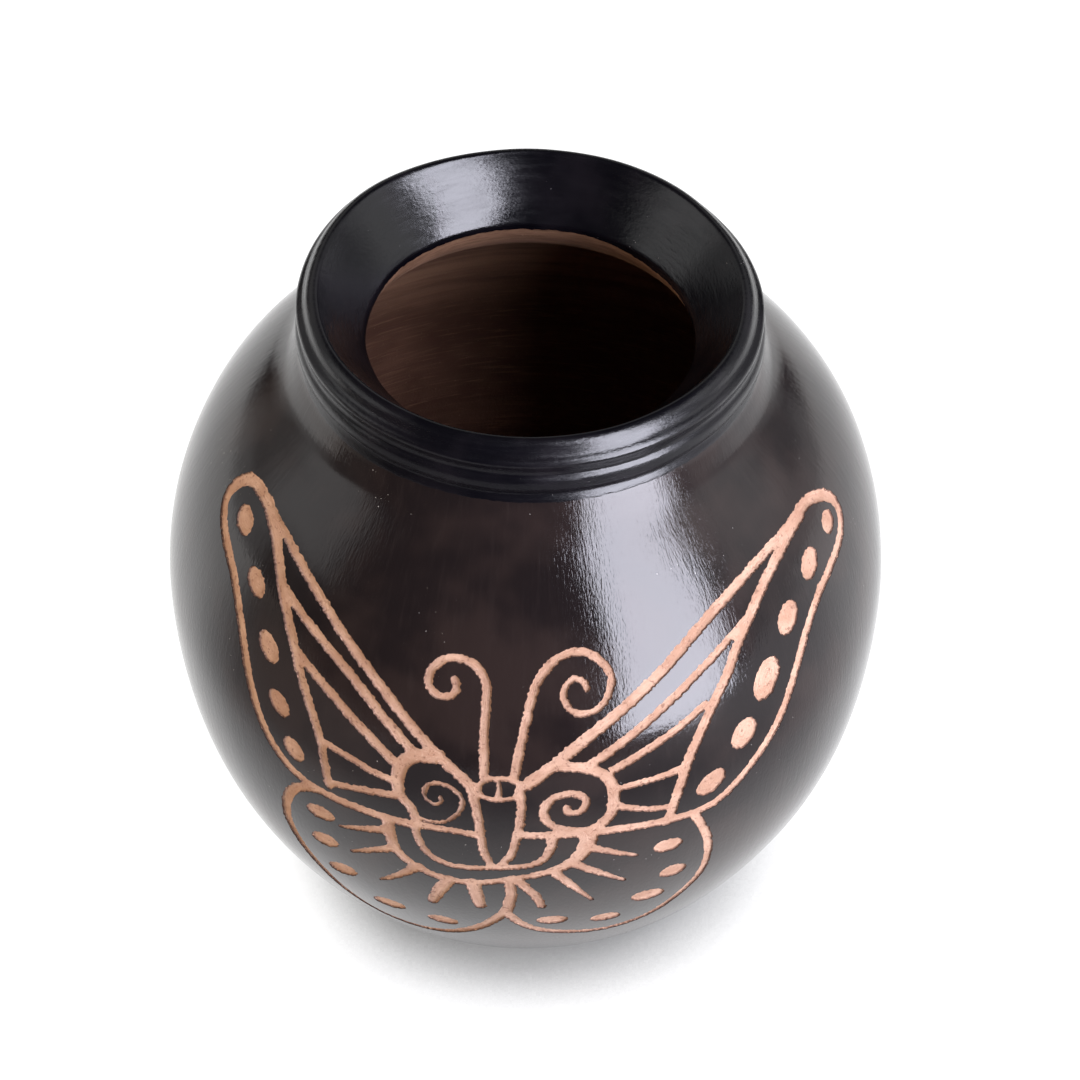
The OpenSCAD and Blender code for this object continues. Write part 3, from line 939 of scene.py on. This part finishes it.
class Graph:
    """A small helper for writing the nodes of a material or a world."""

    def __init__(self, owner, kind="Material", place="Object"):
        owner.use_nodes = True
        self.owner = owner
        self.tree = owner.node_tree
        self.tree.nodes.clear()
        self.out = self.node("ShaderNodeOutput" + kind).inputs[0]
        self.place = self.node("ShaderNodeTexCoord").outputs[place]

    def node(self, kind, inputs=None, **props):
        n = self.tree.nodes.new(kind)
        for k, v in props.items():
            setattr(n, k, v)
        for k, v in (inputs or {}).items():
            self.put(n.inputs[k], v)
        return n

    def put(self, socket, value):
        if isinstance(value, bpy.types.NodeSocket):
            self.tree.links.new(value, socket)
        else:
            socket.default_value = value

    def math(self, op, a, b):
        return self.node("ShaderNodeMath", {0: a, 1: b}, operation=op).outputs[0]

    def times(self, a, b):
        return self.math("MULTIPLY", a, b)

    def vec(self, op, a, b=(0, 0, 0)):
        return self.node("ShaderNodeVectorMath", {0: a, 1: b}, operation=op).outputs[0]

    def length(self, a):
        node = self.node("ShaderNodeVectorMath", {0: a}, operation="LENGTH")
        return node.outputs["Value"]

    def split(self, a):
        """The three coordinates of a vector."""
        return self.node("ShaderNodeSeparateXYZ", {0: a}).outputs

    def lay(self, around, up):
        """Coordinates for marks `around` mm long round the pot and `up` mm high."""
        outward = self.vec("NORMALIZE", self.vec("MULTIPLY", self.place, (1, 1, 0)))
        turn = BELLY_R / around
        return self.vec(
            "ADD",
            self.vec("MULTIPLY", outward, (turn, turn, 0)),
            self.vec("MULTIPLY", self.place, (0, 0, 1 / (up * MM))),
        )

    def even(self, size):
        """Coordinates for marks of one size in mm."""
        k = 1 / (size * MM)
        return self.vec("MULTIPLY", self.place, (k, k, k))

    def noise(self, where, detail=2.0, rough=0.5, w=None):
        """Cloudy noise. w moves through it without moving along the surface."""
        ins = {"Vector": where, "Scale": 1.0, "Detail": detail, "Roughness": rough}
        if w is not None:
            ins["W"] = w
        dims = "3D" if w is None else "4D"
        return self.node("ShaderNodeTexNoise", ins, noise_dimensions=dims).outputs[0]

    def ramp(self, value, low, high, to_low=0.0, to_high=1.0):
        """Goes softly from to_low to to_high as the value goes from low to high."""
        n = self.node(
            "ShaderNodeMapRange",
            {0: value, 1: low, 2: high, 3: to_low, 4: to_high},
            interpolation_type="SMOOTHSTEP",
        )
        return n.outputs[0]

    def mix(self, factor, a, b):
        n = self.node("ShaderNodeMix", data_type="RGBA")
        self.put(n.inputs[0], factor)
        for k, c in ((6, a), (7, b)):
            self.put(n.inputs[k], c if isinstance(c, bpy.types.NodeSocket) else (*c, 1))
        return n.outputs[2]

    def bump(self, height, depth_mm, normal=None):
        """A bump whose height, between 0 and 1, stands for depth_mm."""
        ins = {"Height": height, "Distance": depth_mm * MM, "Strength": 1.0}
        if normal is not None:
            ins["Normal"] = normal
        return self.node("ShaderNodeBump", ins).outputs[0]

    def finish(self, colour, rough, normal, specular=0.5):
        inputs = {"Base Color": colour, "Roughness": rough, "Normal": normal}
        inputs |= {"IOR": 1.5, "Specular IOR Level": specular}
        self.put(self.out, self.node("ShaderNodeBsdfPrincipled", inputs).outputs[0])
        return self.owner


def specks(g):
    """Sparse small spots of dust, 0 to 1."""
    few = g.ramp(g.noise(g.even(17), 2.0), 0.45, 0.7, -0.05, 0.02)
    value = g.math("ADD", g.noise(g.even(0.42), 1.0), few)
    return g.ramp(value, 0.795, 0.815)


def dusty(g, colour, rough, dust_colour):
    """Colour and roughness of burnished slip with specks of dust on it."""
    dust = specks(g)
    colour = g.mix(g.times(dust, 0.8), colour, dust_colour)
    return colour, g.math("ADD", rough, g.times(dust, 0.4))


def slip_material():
    """Black slip burnished with a pebble, up and down."""
    g = Graph(bpy.data.materials.new("burnished_black_slip"))
    strokes = g.noise(g.lay(1.1, 6), 2.0, 0.55)
    grain = g.noise(g.lay(0.42, 0.95), 2.0, 0.6)
    facets = g.noise(g.lay(6, 34), 1.0)
    patch = g.ramp(g.noise(g.even(24), 3.0, 0.6), 0.40, 0.66)
    colour = g.mix(patch, (0.0075, 0.0053, 0.0055), (0.0160, 0.0105, 0.0096))
    colour = g.mix(g.ramp(strokes, 0.5, 0.8, 0, 0.12), colour, (0.030, 0.022, 0.020))
    shine = g.ramp(grain, 0.3, 0.7, 0.075, 0.125)
    rough = g.math("ADD", shine, g.ramp(patch, 0, 1, 0, 0.03))
    colour, rough = dusty(g, colour, rough, (0.42, 0.40, 0.37))
    normal = g.bump(facets, 0.035)
    normal = g.bump(strokes, 0.022, normal)
    normal = g.bump(grain, 0.029, normal)
    return g.finish(colour, rough, normal)


def neck_material():
    """Blue-black slip, burnished round and round."""
    g = Graph(bpy.data.materials.new("burnished_neck_slip"))
    strokes = g.noise(g.lay(11, 0.75), 3.0, 0.6)
    grain = g.noise(g.lay(1.6, 0.33), 2.0, 0.6)
    facets = g.noise(g.lay(16, 3.5), 1.0)
    cloud = g.ramp(g.noise(g.even(14), 3.0, 0.6), 0.4, 0.7)
    colour = g.mix(cloud, (0.0015, 0.0013, 0.0024), (0.0052, 0.0043, 0.0060))
    radius = g.length(g.vec("MULTIPLY", g.place, (1, 1, 0)))
    funnel = g.ramp(radius, 0.0360, 0.0385, 0.9, 1.0)
    rough = g.times(g.ramp(strokes, 0.3, 0.75, 0.20, 0.30), funnel)
    colour, rough = dusty(g, colour, rough, (0.42, 0.40, 0.38))
    normal = g.bump(facets, 0.05)
    normal = g.bump(strokes, 0.050, normal)
    normal = g.bump(grain, 0.035, normal)
    return g.finish(colour, rough, normal)


def clay_material(name, scraped):
    """Bare clay. In a groove, edge_gap says how far away the groove's edge is."""
    g = Graph(bpy.data.materials.new(name))
    gap = FAR_FROM_EDGE
    if scraped:
        gap = g.node("ShaderNodeAttribute", attribute_name="edge_gap").outputs["Fac"]
    along = g.noise(g.even(2.6), 3.0, 0.6, g.times(gap, 7.0))
    crumbs = g.noise(g.even(0.42), 3.0, 0.65)
    pits = g.noise(g.even(0.75), 2.0, 0.6)
    cloud = g.ramp(g.noise(g.even(5.0), 2.0), 0.35, 0.65)
    colour = g.mix(cloud, (0.340, 0.197, 0.130), (0.44, 0.276, 0.194))
    colour = g.mix(g.ramp(along, 0.30, 0.56, 0.7, 0), colour, (0.27, 0.135, 0.085))
    colour = g.mix(g.ramp(crumbs, 0.56, 0.76, 0, 0.5), colour, (0.60, 0.42, 0.33))
    colour = g.mix(g.ramp(pits, 0.58, 0.70, 0, 0.8), colour, (0.17, 0.085, 0.055))
    # colour made darker along the groove's edge
    darker_band = g.times(g.ramp(gap, 0.03, 0.20, 0.9, 0), g.ramp(crumbs, 0.32, 0.52))
    colour = g.mix(darker_band, colour, (0.07, 0.034, 0.025))
    normal = g.bump(along, 0.20)
    normal = g.bump(crumbs, 0.10, normal)
    return g.finish(colour, 0.9, normal, specular=0.3)


def wiped_material():
    """The inside, wiped round with a wet hand, with painted shade: darker deeper down,
    lighter towards the mouth. It is also darker at the throat.
    """
    g = Graph(bpy.data.materials.new("wiped_clay"))
    wipes = g.noise(g.lay(45, 3.2), 3.0, 0.6)
    fine = g.noise(g.lay(9, 0.5), 3.0, 0.6)
    cloud = g.ramp(g.noise(g.even(18), 3.0, 0.6), 0.35, 0.65)
    grit = g.noise(g.even(0.5), 2.0, 0.6)
    height = g.split(g.place)[2]
    colour = g.mix(cloud, (0.095, 0.043, 0.026), (0.145, 0.069, 0.043))
    # painted shade: the clay is coloured lighter in the upper part of the inside, where
    # light falls in at the mouth, and darker deeper down
    colour = g.mix(g.ramp(height, 0.078, 0.102), colour, (0.36, 0.195, 0.118))
    colour = g.mix(g.ramp(wipes, 0.35, 0.7, 0, 0.6), colour, (0.085, 0.036, 0.023))
    colour = g.mix(g.ramp(fine, 0.52, 0.75, 0, 0.6), colour, (0.25, 0.130, 0.078))
    # colour made darker in a band at the top of the throat
    darker_band = g.times(g.ramp(height, 0.1195, 0.1245), g.ramp(fine, 0.35, 0.6, 0.9, 0.6))
    colour = g.mix(darker_band, colour, (0.085, 0.040, 0.021))
    colour = g.mix(g.ramp(grit, 0.66, 0.8, 0, 0.6), colour, (0.36, 0.21, 0.14))
    normal = g.bump(wipes, 0.30)
    normal = g.bump(fine, 0.10, normal)
    normal = g.bump(grit, 0.05, normal)
    return g.finish(colour, 0.85, normal, specular=0.3)


# ---- The stage ----


def floor_light(g):
    """The floor's glow: less under the pot and, for reflections only, less in front."""
    x, y, _ = g.split(g.place)
    near = g.node("ShaderNodeAmbientOcclusion", {"Distance": 0.16}, samples=16)
    open_sky = g.math("ADD", near.outputs["AO"], g.ramp(x, -0.08, -0.02, 0.16, 0))
    light = g.ramp(open_sky, 0.22, 0.58, 0.16, 1.0)
    far = g.ramp(g.length(g.place), 0.045, 0.165, 0, 0.92)
    fade = g.times(g.ramp(y, -0.06, 0.06, 1, 0), far)
    fade = g.times(fade, g.ramp(x, 0.05, 0.22, 1, 0.5))
    seen = g.node("ShaderNodeLightPath").outputs["Is Camera Ray"]
    return g.times(light, g.math("MAXIMUM", seen, g.math("SUBTRACT", 1.0, fade)))


def floor():
    """A pale sheet that glows a little, as paper lit from every side does.

    From below it is clear."""
    side, front, back = 1.5, -0.22, 1.5
    corners = [(-side, front, 0), (side, front, 0), (side, back, 0), (-side, back, 0)]
    me = bpy.data.meshes.new("floor")
    me.from_pydata(corners, [], [(0, 1, 2, 3)])
    g = Graph(bpy.data.materials.new("pale_paper"))
    tone = g.mix(g.noise(g.even(3.0), 3.0), (0.80, 0.80, 0.80), (0.84, 0.84, 0.84))
    strength = g.times(floor_light(g), FLOOR_GLOW)
    glow = g.node("ShaderNodeEmission", {"Color": tone, "Strength": strength})
    paper = g.node("ShaderNodeBsdfDiffuse", {"Color": (0.12, 0.12, 0.12, 1)})
    above = g.node("ShaderNodeAddShader", {0: glow.outputs[0], 1: paper.outputs[0]})
    clear = g.node("ShaderNodeBsdfTransparent").outputs[0]
    below = g.node("ShaderNodeNewGeometry").outputs["Backfacing"]
    mix = g.node("ShaderNodeMixShader", {0: below, 1: above.outputs[0], 2: clear})
    g.put(g.out, mix.outputs[0])
    me.materials.append(g.owner)
    ob = add_object("floor", me)


def panel(name, size, reach, turn, height, lean, power, colour):
    """A soft rectangular light that stands at an azimuth and faces the pot's axis."""
    lamp = bpy.data.lights.new(name, "AREA")
    lamp.shape = "RECTANGLE"
    lamp.size, lamp.size_y = size
    lamp.energy = power
    lamp.color = colour
    ob = add_object(name, lamp)
    turn = math.radians(turn)
    ob.location = (reach * math.sin(turn), -reach * math.cos(turn), height)
    ob.rotation_euler = (math.radians(90), math.radians(lean), turn)
    return ob


def room_light(g):
    """Pale walls to the sides and behind, a dark ceiling, a dark room in front."""
    level_way = g.vec("NORMALIZE", g.vec("MULTIPLY", g.place, (1, 1, 0)))
    to_right, to_back, _ = g.split(level_way)
    up = g.split(g.place)[2]
    pale = g.ramp(up, 0.0, 0.35, ROOM_PALE, ROOM_PALE + 0.45)
    low = g.ramp(up, 0.16, 0.32, 1, 0)
    dark_low = g.times(g.ramp(to_back, 0.60, 0.74), low)
    pale = g.ramp(dark_low, 0, 1, pale, ROOM_DARK)
    left = g.times(g.ramp(to_right, -0.8, -0.5, 1, 0), g.ramp(to_back, 0.0, 0.12, 1, 0))
    dark_left = g.times(left, g.ramp(up, 0.16, 0.32, 0.75, 0))
    pale = g.ramp(dark_left, 0, 1, pale, ROOM_DARK)
    dark_back = g.times(g.ramp(to_back, 0.12, 0.40), g.ramp(up, 0.02, 0.14, 0, 0.6))
    pale = g.ramp(dark_back, 0, 1, pale, ROOM_DARK)
    walls = g.times(g.ramp(to_back, -0.55, -0.10), g.ramp(up, 0.58, 0.76, 1, 0))
    return g.ramp(walls, 0, 1, ROOM_DARK, pale)


def surroundings():
    """White to the camera, and the room to everything else."""
    world = bpy.data.worlds.new("studio")
    bpy.context.scene.world = world
    g = Graph(world, "World", "Generated")
    white = (1, 1, 1, 1)
    room = g.node("ShaderNodeBackground", {0: white, 1: room_light(g)}).outputs[0]
    page = g.node("ShaderNodeBackground", {0: white, 1: 1.0}).outputs[0]
    seen = g.node("ShaderNodeLightPath").outputs["Is Camera Ray"]
    mix = g.node("ShaderNodeMixShader", {0: seen, 1: room, 2: page})
    g.put(g.out, mix.outputs[0])


def camera():
    cam = bpy.data.cameras.new("camera")
    cam.sensor_width = 36
    cam.lens = CAMERA_LENS
    cam.shift_x, cam.shift_y = CAMERA_SHIFT
    cam.clip_start, cam.clip_end = 0.01, 20
    ob = add_object("camera", cam)
    away = CAMERA_REACH * math.cos(CAMERA_RISE)
    above = CAMERA_REACH * math.sin(CAMERA_RISE)
    ob.location = (0, -away, above + BELLY_Z * MM)
    ob.rotation_euler = (math.pi / 2 - CAMERA_RISE, 0, 0)
    bpy.context.scene.camera = ob


# ---- The scene ----

SCRAPED_CLAY = clay_material("scraped_clay", True)
BARE_CLAY = clay_material("bare_clay", False)
WIPED_CLAY = wiped_material()

skin = whole_skin()
pieces = [
    (body_coat(skin), "body_slip", "body_slip"),
    (neck_coat(), "neck_slip", "neck_slip"),
    (
        clay_bowl("lower_wall", skin, S_FOOT, S_BELLY, inner_egg(FOOT_Z, BELLY_Z)),
        "lower_bowl",
        "clay",
    ),
    (
        clay_bowl("upper_wall", skin, S_BELLY, S_JOIN, inner_dome(), dome_top()),
        "upper_bowl",
        "clay",
    ),
    (neck_clay(), "neck_ring", "clay"),
    (collar_clay(), "collar_coil", "clay"),
    (lip_clay(), "lip_coil", "clay"),
]
for piece, node, slot in pieces:
    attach(piece, "root")
    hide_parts(node)
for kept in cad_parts["foot_slab"].material_slots:
    kept.material = BARE_CLAY

floor()
panel("softbox", **SOFTBOX)
panel("fill", **FILL).visible_glossy = False
surroundings()
camera()
bpy.context.scene.view_settings.view_transform = "Standard"
